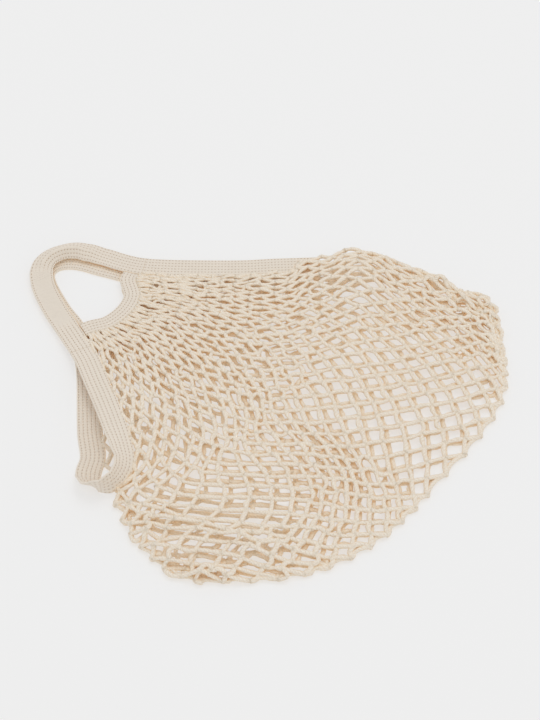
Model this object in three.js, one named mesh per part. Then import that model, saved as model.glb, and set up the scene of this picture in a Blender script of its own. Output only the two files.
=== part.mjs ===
import * as THREE from 'three';

// A knotted-net shopping bag lying flat with its mouth to the left. Millimetres, +Z up.
// The bag rests on z = 0 and the middle of its footprint is at the origin.

// Sizes of the whole bag as it lies
const bagLength = 500;
const bagDepth = 438;

// The knitted tape that edges the mouth and makes both handles
const tapeWidth = 25;
const tapeThickness = 2.5;
const tapeEdgeRound = 0.5;
const tapeStep = 10;
const edgeStep = 15;
const edgeBend = 0.05;

// The narrower band across the front and the back, between the feet of the handles
const scoopWidth = 19;
const scoopThickness = 2.4;

// The net
const netThickness = 3;
const netBar = 6;
const scallopDepth = 5;
const gapCorner = 0.18;

// Heights
const mouthLift = 11;
const crownLift = 12;
const humpLift = 16;
const humpSpread = 30;

// Clearances
const seam = 0.3;
const scoopEndGap = 0.6;

// Counts
const columns = 9;
const halfRows = 9;
const closedRows = 2;

const cotton = { color: 0xded0b8, roughness: 0.95, metalness: 0 };

// The front lies over the back, so its underside starts one layer up.
const upperLayer = Math.max(tapeThickness, scoopThickness, netThickness) + seam;

const table = (names, rows) =>
  rows.map((row) => Object.fromEntries(names.map((name, k) => [name, row[k]])));

// Centre line of the front tape, from the far corner of the mouth over the front handle to the near
// corner, round that corner, and back under itself to the foot of the back handle.
// x and y are shares of bagLength and bagDepth. lift is a share of mouthLift above the layer below.
// tilt turns the tape about its own length: 0 is face up and 180 is face down.
// outer and inner are the angles by which its two halves drop from a crease along the middle.
const tapeNames = ['x', 'y', 'lift', 'tilt', 'outer', 'inner'];
const frontTape = table(tapeNames, [
  [0.118, 0.420, 0.35, 0, 0, 0],
  [0.040, 0.416, 0.35, 0, 0, 0],
  [-0.050, 0.413, 0.2, 0, 0, 0],
  [-0.124, 0.413, 0.2, 0, 0, 0],
  [-0.202, 0.415, 0.2, 0, 0, 0],
  [-0.256, 0.420, 0.2, 0, 0, 0],
  [-0.286, 0.429, 0.15, 0, 0, 0],
  [-0.316, 0.443, 0.1, 0, 0, 0],
  [-0.345, 0.457, 0.1, 0, 0, 0],
  [-0.381, 0.467, 0.1, 0, 12, 25],
  [-0.410, 0.469, 0.1, 0, 26, 50],
  [-0.434, 0.463, 0.1, 0, 33, 60],
  [-0.456, 0.449, 0.1, 0, 30, 55],
  [-0.472, 0.428, 0.1, 0, 20, 35],
  [-0.477, 0.402, 0.1, 0, 6, 12],
  [-0.473, 0.370, 0.05, 0, 0, 0],
  [-0.464, 0.338, 0.05, 0, 0, 0],
  [-0.436, 0.270, 0.05, 0, 0, 0],
  [-0.413, 0.224, 0.1, 0, 0, 0],
  [-0.390, 0.177, 0.2, 0, 0, 0],
  [-0.372, 0.139, 0.35, 0, 0, 0],
  [-0.354, 0.094, 0.6, 0, 0, 0],
  [-0.335, 0.035, 0.9, 0, 0, 0],
  [-0.317, -0.017, 1.0, 0, 0, 0],
  [-0.292, -0.096, 1.0, 8, 0, 0],
  [-0.270, -0.172, 0.6, 28, 0, 0],
  [-0.264, -0.208, 0.3, 44, 0, 0],
  [-0.270, -0.241, 0.12, 60, 0, 0],
  [-0.287, -0.268, 0.08, 78, 0, 0],
  [-0.310, -0.274, 0.05, 104, 0, 0],
  [-0.329, -0.255, 0, 140, 0, 0],
  [-0.334, -0.222, 0, 170, 0, 0],
  [-0.329, -0.171, 0, 180, 0, 0],
  [-0.339, -0.103, 0, 180, 0, 0],
  [-0.347, -0.007, 0, 180, 0, 0],
  [-0.352, 0.055, 0, 180, 0, 0],
  [-0.357, 0.098, 0, 180, 0, 0],
  [-0.365, 0.143, 0, 180, 0, 0],
]);

// Rows of that table at which the pieces of tape meet or begin to turn
const farFoot = 5;
const nearFoot = 20;
const turnEnd = 28;
const layerChange = 30;
const backNetEnd = 32;
const backTapeEnd = 37;

// The back handle and the far side of the back follow the front ones, drawn in towards the bag by a
// share of tapeWidth. row is a row of the front table.
const backDraw = table(['row', 'inward'], [
  [0, 0.1], [4, 0.2], [6, 0.4], [8, 0.48], [10, 0.3], [12, 0.12], [14, 0.05], [16, 0.15], [18, 0.28],
  [20, 0.15], [21, 0.08],
]);

// Middle of the front scoop band, between the two feet of the front handle
const scoopLine = table(['x', 'y'], [
  [-0.276, 0.322], [-0.283, 0.288], [-0.300, 0.256], [-0.325, 0.229],
]);
const scoopFarRow = 5.6;
const scoopNearRow = 18.7;
const backScoopDraw = 0.12;

// Folded and closed edges of the net, shared by its front and its back
const nearFold = table(['x', 'y'], [
  [-0.280, -0.300], [-0.262, -0.345], [-0.234, -0.398], [-0.204, -0.443], [-0.166, -0.480], [-0.120, -0.500],
]);
const bottomEdge = table(['x', 'y'], [
  [-0.120, -0.500], [-0.030, -0.503], [0.053, -0.493], [0.154, -0.451], [0.260, -0.354],
  [0.342, -0.240], [0.412, -0.142], [0.471, -0.040], [0.496, 0.049], [0.496, 0.166], [0.490, 0.240],
]);
// rise is how far the front stands off the back there, as a share of the height of the far tape's end.
const farFold = table(['x', 'y', 'rise'], [
  [0.148, 0.446, 1], [0.172, 0.468, 0.7], [0.207, 0.480, 0.35], [0.238, 0.471, 0.1], [0.268, 0.455, 0],
  [0.298, 0.437, 0], [0.332, 0.419, 0], [0.369, 0.393, 0], [0.408, 0.364, 0], [0.448, 0.329, 0],
  [0.476, 0.290, 0], [0.490, 0.240, 0],
]);
const humpPlace = { x: 0.212, y: 0.400 };

// Where the net leaves the far tape and crosses it, over its top at the front and under it at the back
const farCrossing = table(['x', 'y'], [[0.068, 0.389], [0.100, 0.408], [0.130, 0.432]]);
const farCrossingRow = 0.85;
const farLiftRow = 1.1;
const farRestRow = 2.2;

const up = new THREE.Vector3(0, 0, 1);
const place = (row, z = 0) => new THREE.Vector3(row.x * bagLength, row.y * bagDepth, z);

// A value of one column at a fractional row, eased between the rows
function valueAt(rows, key, s) {
  const k = Math.min(Math.max(Math.floor(s), 0), rows.length - 2);
  return THREE.MathUtils.lerp(rows[k][key], rows[k + 1][key], THREE.MathUtils.smoothstep(s - k, 0, 1));
}

// How far the back tape is drawn in at a fractional row of the front table, in millimetres
function drawAt(s) {
  const k = Math.max(1, backDraw.findIndex((row) => row.row >= s));
  const from = backDraw[k - 1];
  const to = backDraw[k];
  const share = THREE.MathUtils.smoothstep(s, from.row, to.row);
  return tapeWidth * THREE.MathUtils.lerp(from.inward, to.inward, share);
}

const tapeCurve = new THREE.CatmullRomCurve3(frontTape.map((row) => place(row)), false, 'centripetal');

// Level point, heading and right-hand side of the tape at a fractional row
function tapeLine(s) {
  const last = frontTape.length - 1;
  const point = tapeCurve.getPoint(s / last);
  const ahead = tapeCurve.getPoint(Math.min(s + 0.02, last) / last);
  const behind = tapeCurve.getPoint(Math.max(s - 0.02, 0) / last);
  const heading = ahead.clone().sub(behind);
  const speed = heading.length() / (Math.min(s + 0.02, last) - Math.max(s - 0.02, 0));
  heading.normalize();
  return { point, heading, speed, right: heading.clone().cross(up).normalize() };
}

// One cross-section of a tape: centre, heading, the way to its free edge, and its two crease angles
function section(centre, heading, outward, outer = 0, inner = 0) {
  return { centre, outward, face: outward.clone().cross(heading).normalize(), outer, inner };
}

// Section of the front tape, its lowest edge lifted as the table says
function frontSection(s) {
  const { point, heading, right } = tapeLine(s);
  const tilt = THREE.MathUtils.degToRad(valueAt(frontTape, 'tilt', s));
  const outer = THREE.MathUtils.degToRad(valueAt(frontTape, 'outer', s));
  const inner = THREE.MathUtils.degToRad(valueAt(frontTape, 'inner', s));
  const outward = right.clone().multiplyScalar(Math.cos(tilt)).addScaledVector(up, Math.sin(tilt));
  const drop = Math.max(Math.sin(outer), Math.sin(inner), Math.sin(tilt)) * tapeWidth / 2;
  point.z = tapeUnderside(s) + drop + tapeThickness / 2 * Math.max(Math.abs(Math.cos(tilt)), 0.3);
  return section(point, heading, outward, outer, inner);
}

// Underside of the front tape at a fractional row, and of the back tape, which lies on the net at its end
function tapeUnderside(s) {
  const onFloor = THREE.MathUtils.smoothstep(s, turnEnd, layerChange);
  return THREE.MathUtils.lerp(upperLayer, 0, onFloor) + mouthLift * valueAt(frontTape, 'lift', s);
}

const backUnderside = (s) => (netThickness + seam) * (1 - THREE.MathUtils.smoothstep(s, farLiftRow, farRestRow));
const farTapeTop = tapeUnderside(0) + tapeThickness;

// Centre line of the tape of the back, from the far corner to just past the near foot of its handle
const backCurve = new THREE.CatmullRomCurve3(
  frontTape.slice(0, nearFoot + 2).map((row, s) => tapeLine(s).point.addScaledVector(tapeLine(s).right, -drawAt(s))),
  false,
  'centripetal',
);

// Section of the tape of the back, face down on the floor under the front one
function backSection(s) {
  const share = s / (nearFoot + 1);
  const heading = backCurve.getTangent(share).normalize();
  const centre = backCurve.getPoint(share).setZ(backUnderside(s) + tapeThickness / 2);
  return section(centre, heading.clone().negate(), heading.cross(up).normalize());
}

// The row that lies a distance along the tape from another row
const rowAlong = (s, distance) => s + distance / tapeLine(s).speed;

// Fractional rows from one row to another, about tapeStep apart and trimmed by half a seam at each end
function stepsBetween(from, to) {
  const way = Math.sign(to - from);
  const start = rowAlong(from, way * seam / 2);
  const end = rowAlong(to, -way * seam / 2);
  const rows = [start];
  for (let s = start; (end - s) * way > 0;) {
    s += way * tapeStep / tapeLine(s).speed;
    rows.push(s);
  }
  rows.pop();
  if (Math.abs(rows.at(-1) - end) * tapeLine(end).speed < tapeStep / 2 && rows.length > 1) {
    rows.pop();
  }
  rows.push(end);
  return rows;
}

// A closed body from points and triangles, its faces turned outwards
function body(points, triangles) {
  let volume = 0;
  for (const [a, b, c] of triangles) {
    volume += points[a].dot(points[b].clone().cross(points[c]));
  }
  const turned = volume < 0 ? triangles.map(([a, b, c]) => [a, c, b]) : triangles;
  const geometry = new THREE.BufferGeometry().setFromPoints(points);
  geometry.setIndex(turned.flat());
  geometry.computeVertexNormals();
  return geometry;
}

// A tape swept through its sections, thinner at its two edges
function strip(sections, width, thickness) {
  const across = [
    [-1, tapeEdgeRound], [-1 + thickness / width, 1], [0, 1], [1 - thickness / width, 1], [1, tapeEdgeRound],
  ];
  const points = [];
  for (const { centre, outward, face, outer, inner } of sections) {
    const lower = [];
    const upper = [];
    for (const [share, fullness] of across) {
      const angle = share > 0 ? outer : inner;
      const reach = share * width / 2;
      const point = centre.clone().addScaledVector(outward, reach * Math.cos(angle));
      point.addScaledVector(face, -Math.abs(reach) * Math.sin(angle));
      const normal = face.clone().multiplyScalar(Math.cos(angle));
      normal.addScaledVector(outward, Math.sign(share) * Math.sin(angle));
      if (share === 0) {
        normal.copy(face).multiplyScalar(Math.cos(outer) + Math.cos(inner));
        normal.addScaledVector(outward, Math.sin(outer) - Math.sin(inner)).normalize();
        normal.divideScalar(Math.cos((outer + inner) / 2));
      }
      const half = thickness / 2 * fullness;
      lower.push(point.clone().addScaledVector(normal, -half));
      upper.unshift(point.clone().addScaledVector(normal, half));
    }
    points.push(...lower, ...upper);
  }
  const round = across.length * 2;
  const triangles = [];
  for (let i = 0; i + 1 < sections.length; i++) {
    for (let k = 0; k < round; k++) {
      const a = i * round + k;
      const b = i * round + (k + 1) % round;
      triangles.push([a, b, b + round], [a, b + round, a + round]);
    }
  }
  const end = (sections.length - 1) * round;
  for (let k = 0; k + 1 < across.length; k++) {
    const [a, b, c, d] = [k, k + 1, round - 2 - k, round - 1 - k];
    triangles.push([a, c, b], [a, d, c], [end + a, end + b, end + c], [end + a, end + c, end + d]);
  }
  return body(points, triangles);
}

// The far side of the mouth: the back tape, a fold at the far corner, and the front tape over it
function farSideSections() {
  const backRows = stepsBetween(farFoot, 0);
  const frontRows = stepsBetween(0, farFoot);
  const below = backRows.map(backSection);
  const above = frontRows.map(frontSection);
  const low = below.at(-1).centre;
  const high = above[0].centre;
  const outward = above[0].outward;
  const along = low.clone().sub(below.at(-2).centre).setZ(0).normalize();
  const middle = low.clone().lerp(high, 0.5);
  const half = high.clone().sub(low).multiplyScalar(0.5);
  const radius = half.length();
  const foldSteps = 6;
  const fold = [];
  for (let k = 1; k < foldSteps; k++) {
    const angle = Math.PI * k / foldSteps;
    const centre = middle.clone().addScaledVector(half, -Math.cos(angle));
    centre.addScaledVector(along, radius * Math.sin(angle));
    const heading = along.clone().multiplyScalar(Math.cos(angle)).addScaledVector(up, Math.sin(angle));
    fold.push(section(centre, heading, outward));
  }
  return [...below, ...fold, ...above];
}

// A point on the floor plan beside the inner edge of a tape, a seam away from it
function besideTape(item, z) {
  const level = item.outward.clone().setZ(0);
  const share = level.length();
  level.normalize();
  const reach = share * tapeWidth / 2 + tapeThickness / 2 * Math.sqrt(Math.max(0, 1 - share * share)) + seam;
  return item.centre.clone().addScaledVector(level, -reach).setZ(z);
}

// Scoop band, butted on the inner edges of the tape at both feet of a handle
function scoopSections(sectionAt, shift, underside) {
  const farEnd = sectionAt(scoopFarRow);
  const nearEnd = sectionAt(scoopNearRow);
  const start = besideTape(farEnd, 0).addScaledVector(farEnd.outward, seam - scoopEndGap);
  const finish = besideTape(nearEnd, 0).addScaledVector(nearEnd.outward, seam - scoopEndGap);
  const lead = scoopWidth / 2;
  const points = [
    start,
    start.clone().addScaledVector(farEnd.outward, -lead),
    ...scoopLine.map((row) => place(row)),
    finish.clone().addScaledVector(nearEnd.outward, -lead),
    finish,
  ];
  const curve = new THREE.CatmullRomCurve3(points, false, 'centripetal');
  const count = Math.round(curve.getLength() / tapeStep);
  const sections = [];
  for (let k = 0; k <= count; k++) {
    const t = k / count;
    const heading = curve.getTangentAt(t).setZ(0).normalize();
    const outward = heading.clone().cross(up);
    const fade = Math.sin(Math.PI * t);
    const centre = curve.getPointAt(t).addScaledVector(outward, -shift * fade);
    centre.z = THREE.MathUtils.lerp(underside(scoopFarRow), underside(scoopNearRow), t) + scoopThickness / 2;
    sections.push(section(centre, heading, outward));
  }
  return sections;
}

// A line of points, read by its share of the whole length, and the shares at which it bends
function lineOf(run) {
  const points = run.filter((point, k) => k === 0 || point.distanceTo(run[k - 1]) > 1e-6);
  const lengths = [0];
  for (let k = 1; k < points.length; k++) {
    lengths.push(lengths[k - 1] + Math.hypot(points[k].x - points[k - 1].x, points[k].y - points[k - 1].y));
  }
  const whole = lengths.at(-1);
  const at = (share) => {
    const wanted = share * whole;
    const k = Math.max(1, lengths.findIndex((length) => length >= wanted - 1e-9));
    return points[k - 1].clone().lerp(points[k], (wanted - lengths[k - 1]) / (lengths[k] - lengths[k - 1]));
  };
  const bends = (from, to) => {
    const start = from * whole;
    const end = to * whole;
    const stops = [start];
    let turn = 0;
    for (let k = 1; k + 1 < points.length; k++) {
      if (lengths[k] < start + 1 || lengths[k] > end - 1) {
        continue;
      }
      const before = points[k].clone().sub(points[k - 1]).setZ(0);
      const after = points[k + 1].clone().sub(points[k]).setZ(0);
      turn += before.angleTo(after);
      const apart = lengths[k] - stops.at(-1);
      if (apart > 1 && (turn > edgeBend || apart > edgeStep)) {
        stops.push(lengths[k]);
        turn = 0;
      }
    }
    return [from, ...stops.slice(1).map((length) => length / whole), to];
  };
  return { at, bends };
}

// A table of edge points as a smooth run of points, level but for what a row rises
function smoothEdge(rows, z, rise = 0) {
  const points = rows.map((row) => place(row, z + rise * (row.rise ?? 0)));
  return new THREE.CatmullRomCurve3(points, false, 'centripetal').getPoints(48);
}

const nearSide = [
  ...stepsBetween(nearFoot, backTapeEnd).slice(0, -1).map(frontSection),
  backSection(rowAlong(nearFoot, seam / 2)),
];
const frontScoop = scoopSections(frontSection, 0, tapeUnderside);
const backScoop = scoopSections(backSection, backScoopDraw * scoopWidth, () => 0);
const farSide = farSideSections();

// How far down the net a row lies, as a share: the rows draw closer as the diamonds open
const rowShare = (j) => (j / halfRows) ** 0.92;

// The four edges of the front of the net or of its back, each a line in space
function netEdges(front) {
  const foldHeight = front ? upperLayer : 0;
  const scoop = front ? frontScoop : backScoop;
  const rim = scoop.map((item) => {
    const reach = scoopWidth / 2 + seam;
    const level = item.outward.clone().setZ(0).normalize();
    return item.centre.clone().addScaledVector(level, -reach).setZ(item.centre.z - scoopThickness / 2);
  });
  const rows = (from, to) => Array.from({ length: 61 }, (_, k) => THREE.MathUtils.lerp(from, to, k / 60));
  const besideFront = (s) => besideTape(frontSection(s), front ? tapeUnderside(s) : 0);
  const besideBack = (s) => besideTape(backSection(s), 0);
  const nearStart = rowAlong(scoopNearRow, scoopWidth / 2 + 2 * scoopEndGap);
  const farStart = rowAlong(scoopFarRow, -scoopWidth / 2 - 2 * scoopEndGap);
  const nearTape = front
    ? rows(nearStart, turnEnd).map(besideFront)
    : [...rows(nearStart, nearFoot).map(besideBack), ...rows(backTapeEnd - 0.5, backNetEnd).map(besideFront)];
  const besideFar = (s) => {
    const point = besideFront(s);
    const over = 1 - THREE.MathUtils.smoothstep(s, farLiftRow, farRestRow);
    return point.setZ(THREE.MathUtils.lerp(point.z, farTapeTop + seam, over));
  };
  const farTape = rows(farStart, farCrossingRow).map(front ? besideFar : besideBack);
  const crossing = farCrossing.map((row) => place(row, front ? farTapeTop + seam : 0));
  rim.reverse();
  rim.unshift(nearTape[0].clone());
  rim.push(farTape[0].clone());
  const near = [...nearTape, ...smoothEdge(nearFold, foldHeight)];
  const rise = front ? farTapeTop + seam - foldHeight : 0;
  const far = [...farTape, ...crossing, ...smoothEdge(farFold, foldHeight, rise)];
  return {
    rim: lineOf(rim),
    near: lineOf(near),
    far: lineOf(far),
    bottom: lineOf(smoothEdge(bottomEdge, foldHeight)),
  };
}

// Point of the net's underside: u runs from the near side to the far side, v from the rim to the bottom
function netPoint(edges, front, u, v) {
  const point = new THREE.Vector3();
  const { rim, near, far, bottom } = edges;
  const corners = [rim.at(0), rim.at(1), bottom.at(0), bottom.at(1)];
  point.addScaledVector(rim.at(u), 1 - v).addScaledVector(bottom.at(u), v);
  point.addScaledVector(near.at(v), 1 - u).addScaledVector(far.at(v), u);
  point.addScaledVector(corners[0], -(1 - u) * (1 - v)).addScaledVector(corners[1], -u * (1 - v));
  point.addScaledVector(corners[2], -(1 - u) * v).addScaledVector(corners[3], -u * v);
  if (front) {
    const swell = (t) => 1 - (2 * t - 1) ** 4;
    const hump = place(humpPlace).setZ(point.z).distanceTo(point) / humpSpread;
    point.z += swell(u) * (crownLift * swell(v) + humpLift * Math.exp(-hump * hump / 2));
  }
  return point;
}

// One layer of the net: diamonds in staggered rows, cut through except in the gathered rows at the rim
function net(front) {
  const edges = netEdges(front);
  const points = [];
  const triangles = [];
  const known = new Map();
  const nodeAt = (u, v) => {
    const key = `${u.toFixed(5)},${v.toFixed(5)}`;
    if (!known.has(key)) {
      known.set(key, points.push(netPoint(edges, front, u, v)) - 1);
    }
    return known.get(key);
  };
  const middleOf = (loop) => {
    const middle = new THREE.Vector3();
    loop.forEach((k) => middle.add(points[k]));
    return middle.divideScalar(loop.length);
  };
  const solidTile = (loop, apex) => {
    const start = loop.indexOf(apex);
    for (let k = 1; k + 1 < loop.length; k++) {
      triangles.push([apex, loop[(start + k) % loop.length], loop[(start + k + 1) % loop.length]]);
    }
  };
  const awayFrom = (from, to, middle) => {
    const side = points[to].clone().sub(points[from]).setZ(0);
    const toMiddle = middle.clone().sub(points[from]).setZ(0);
    return Math.abs(side.x * toMiddle.y - side.y * toMiddle.x) / side.length();
  };
  const insetSide = (from, to, middle, start = gapCorner, end = gapCorner) => {
    const shrink = 1 - netBar / 2 / awayFrom(from, to, middle);
    const ends = [start, 1 - end].map((share) => points[from].clone().lerp(points[to], share).sub(middle));
    return ends.map((end) => points.push(end.multiplyScalar(shrink).add(middle)) - 1);
  };
  const cutTile = (loop) => {
    const middle = middleOf(loop);
    if (loop.some((from, k) => awayFrom(from, loop[(k + 1) % loop.length], middle) < netBar)) {
      solidTile(loop, loop[1]);
      return;
    }
    const inner = loop.map((from, k) => insetSide(from, loop[(k + 1) % loop.length], middle));
    loop.forEach((from, k) => {
      const to = loop[(k + 1) % loop.length];
      const [p, q] = inner[k];
      const before = inner[(k + loop.length - 1) % loop.length][1];
      triangles.push([from, to, q], [from, q, p], [from, p, before]);
    });
  };
  const cutEdgeTile = (near, above, far, scallop) => {
    const middle = middleOf([near, above, far, ...scallop]);
    const [p, q] = insetSide(near, above, middle, 2 * gapCorner, gapCorner);
    const [r, t] = insetSide(above, far, middle, gapCorner, 2 * gapCorner);
    const inwards = points[above].clone().sub(points[near].clone().lerp(points[far], 0.5)).normalize();
    const within = scallop.map((k) => points.push(points[k].clone().addScaledVector(inwards, netBar)) - 1);
    const outerRun = [far, ...scallop, near];
    const innerRun = [t, ...within, p];
    triangles.push([near, above, q], [near, q, p], [above, far, t], [above, t, r], [above, r, q]);
    for (let k = 0; k + 1 < outerRun.length; k++) {
      triangles.push([outerRun[k], outerRun[k + 1], innerRun[k + 1]], [outerRun[k], innerRun[k + 1], innerRun[k]]);
    }
  };
  const sideRun = (u, from, to) => (u ? edges.far : edges.near).bends(from, to).map((v) => nodeAt(u, v));
  for (let j = 0; j <= halfRows; j++) {
    const shift = j % 2 ? 0.5 : 0;
    const v = rowShare(j);
    const above = rowShare(Math.max(j - 1, 0));
    const below = rowShare(Math.min(j + 1, halfRows));
    for (let i = -1; i < columns + 1; i++) {
      const left = (i + shift) / columns;
      const right = (i + 1 + shift) / columns;
      if (right <= 0 || left >= 1) {
        continue;
      }
      const middle = (left + right) / 2;
      const cut = j > closedRows;
      if (left < 0) {
        const far = nodeAt(right, v);
        solidTile([far, ...sideRun(0, above, below).reverse()], far);
        continue;
      }
      if (right > 1) {
        const near = nodeAt(left, v);
        solidTile([near, ...sideRun(1, above, below)], near);
        continue;
      }
      const near = nodeAt(left, v);
      const far = nodeAt(right, v);
      if (j === 0) {
        const run = edges.rim.bends(left, right).map((u) => nodeAt(u, 0));
        solidTile([...run, nodeAt(middle, below)], nodeAt(middle, below));
      } else if (j === halfRows) {
        const scallop = [0.7, 0.5, 0.3].map((share) => {
          const u = THREE.MathUtils.lerp(left, right, share);
          const edge = nodeAt(u, 1);
          const inwards = points[nodeAt(middle, above)].clone().sub(points[edge]).normalize();
          points[edge].addScaledVector(inwards, scallopDepth * (share === 0.5 ? 1 : 0.8));
          return edge;
        });
        cutEdgeTile(near, nodeAt(middle, above), far, scallop);
      } else if (cut) {
        cutTile([near, nodeAt(middle, above), far, nodeAt(middle, below)]);
      } else {
        const apex = nodeAt(middle, above);
        solidTile([near, apex, far, nodeAt(middle, below)], apex);
      }
    }
  }
  return thicken(points, triangles, netThickness);
}

// A sheet given a thickness upwards, with walls round its outline and round every gap
function thicken(points, sheet, thickness) {
  const count = points.length;
  const lifted = points.map((point) => point.clone().addScaledVector(up, thickness));
  const edges = new Set(sheet.flatMap(([a, b, c]) => [`${a},${b}`, `${b},${c}`, `${c},${a}`]));
  const walls = [];
  for (const edge of edges) {
    const [a, b] = edge.split(',').map(Number);
    if (!edges.has(`${b},${a}`)) {
      walls.push([a, b, b + count], [a, b + count, a + count]);
    }
  }
  const lower = sheet.map(([a, b, c]) => [a, c, b]);
  const upper = sheet.map(([a, b, c]) => [a + count, b + count, c + count]);
  return body([...points, ...lifted], [...lower, ...upper, ...walls]);
}

const bag = new THREE.Group();
function add(name, geometry) {
  const mesh = new THREE.Mesh(geometry, new THREE.MeshStandardMaterial(cotton));
  mesh.name = name;
  bag.add(mesh);
}

add('handle_front', strip(stepsBetween(farFoot, nearFoot).map(frontSection), tapeWidth, tapeThickness));
add('handle_back', strip(stepsBetween(farFoot, nearFoot).map(backSection), tapeWidth, tapeThickness));
add('side_band_near', strip(nearSide, tapeWidth, tapeThickness));
add('side_band_far', strip(farSide, tapeWidth, tapeThickness));
add('scoop_band_front', strip(frontScoop, scoopWidth, scoopThickness));
add('scoop_band_back', strip(backScoop, scoopWidth, scoopThickness));
add('net_front', net(true));
add('net_back', net(false));

const footprint = new THREE.Box3().setFromObject(bag);
const centre = footprint.getCenter(new THREE.Vector3());
bag.position.set(-centre.x, -centre.y, -footprint.min.z);

export default bag;
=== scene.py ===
import math
import bpy
import numpy as np
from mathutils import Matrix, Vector


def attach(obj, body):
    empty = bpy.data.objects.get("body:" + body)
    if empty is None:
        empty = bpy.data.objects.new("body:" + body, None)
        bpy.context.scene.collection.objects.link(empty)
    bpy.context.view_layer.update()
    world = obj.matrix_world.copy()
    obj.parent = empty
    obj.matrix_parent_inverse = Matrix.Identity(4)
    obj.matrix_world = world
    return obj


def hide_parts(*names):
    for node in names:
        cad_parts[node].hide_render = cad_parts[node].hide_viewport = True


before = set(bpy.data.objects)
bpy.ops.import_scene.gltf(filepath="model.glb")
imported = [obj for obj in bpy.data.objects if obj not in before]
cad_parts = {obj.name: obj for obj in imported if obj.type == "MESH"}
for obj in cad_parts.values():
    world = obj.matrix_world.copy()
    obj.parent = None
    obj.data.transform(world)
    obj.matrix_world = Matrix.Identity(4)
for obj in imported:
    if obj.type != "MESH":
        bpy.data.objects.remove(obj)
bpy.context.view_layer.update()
print("frame loaded")

up = np.array([0.0, 0.0, 1.0])
mm = 0.001

# The bag as it lies. Lengths in the drawing are millimetres from a point on the floor, x to the right
# and y away from the viewer; middle is the middle of the bag's footprint in the same drawing.
bag = {
    "length": 500.0,
    "depth": 438.0,
    "middle": (-1.4695, -1.5512),
    "tapeWidth": 25.0,
    "tapeThickness": 2.5,
    "scoopWidth": 19.0,
    "scoopThickness": 2.4,
    "netThickness": 3.0,
    "layerGap": 0.3,
    "mouthLift": 11.0,
    "crownLift": 12.0,
    "humpLift": 16.0,
    "humpSpread": 30.0,
    "humpX": 106.0,
    "humpY": 175.2,
    "scoopEndGap": 0.6,
}
upperLayer = bag["netThickness"] + bag["layerGap"]


def table(names, rows):
    return {name: np.array([row[k] for row in rows], float) for k, name in enumerate(names.split())}


def unit(vector):
    return vector / max(np.linalg.norm(vector), 1e-12)


def ease(share):
    share = np.clip(share, 0.0, 1.0)
    return share * share * (3 - 2 * share)


def mix(a, b, share):
    return a * (1 - share) + b * share


# A smooth line through a run of points, read from 0 at its start to 1 at its end
class SmoothLine:
    def __init__(self, points):
        self.points = np.asarray(points, float)

    def at(self, share):
        points = self.points
        place = (len(points) - 1) * share
        k = min(max(int(math.floor(place)), 0), len(points) - 2)
        w = place - k
        start, end = points[k], points[k + 1]
        before = points[k - 1] if k > 0 else 2 * start - end
        after = points[k + 2] if k + 2 < len(points) else 2 * end - start
        pairs = ((before, start), (start, end), (end, after))
        first, second, third = (max(((b - a) ** 2).sum() ** 0.25, 1e-4) for a, b in pairs)
        leave = (start - before) / first - (end - before) / (first + second) + (end - start) / second
        arrive = (end - start) / second - (after - start) / (second + third) + (after - end) / third
        leave, arrive = leave * second, arrive * second
        square = -3 * start + 3 * end - 2 * leave - arrive
        cube = 2 * start - 2 * end + leave + arrive
        return start + leave * w + square * w * w + cube * w**3

    def run(self, count):
        return np.array([self.at(k / count) for k in range(count + 1)])


# A run of points read by the share of its length on the floor plan
class MeasuredLine:
    def __init__(self, run):
        run = np.asarray(run, float)
        far = np.linalg.norm(np.diff(run, axis=0), axis=1) > 1e-6
        self.points = run[np.concatenate([[True], far])]
        steps = np.diff(self.points[:, :2], axis=0)
        self.lengths = np.concatenate([[0.0], np.cumsum(np.hypot(steps[:, 0], steps[:, 1]))])

    def at(self, share):
        wanted = np.asarray(share, float) * self.lengths[-1]
        return np.stack([np.interp(wanted, self.lengths, self.points[:, k]) for k in range(3)], -1)


def places(rows, z=0.0):
    x, y = rows["x"] * bag["length"], rows["y"] * bag["depth"]
    return np.stack([x, y, np.broadcast_to(z, x.shape)], 1)


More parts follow.
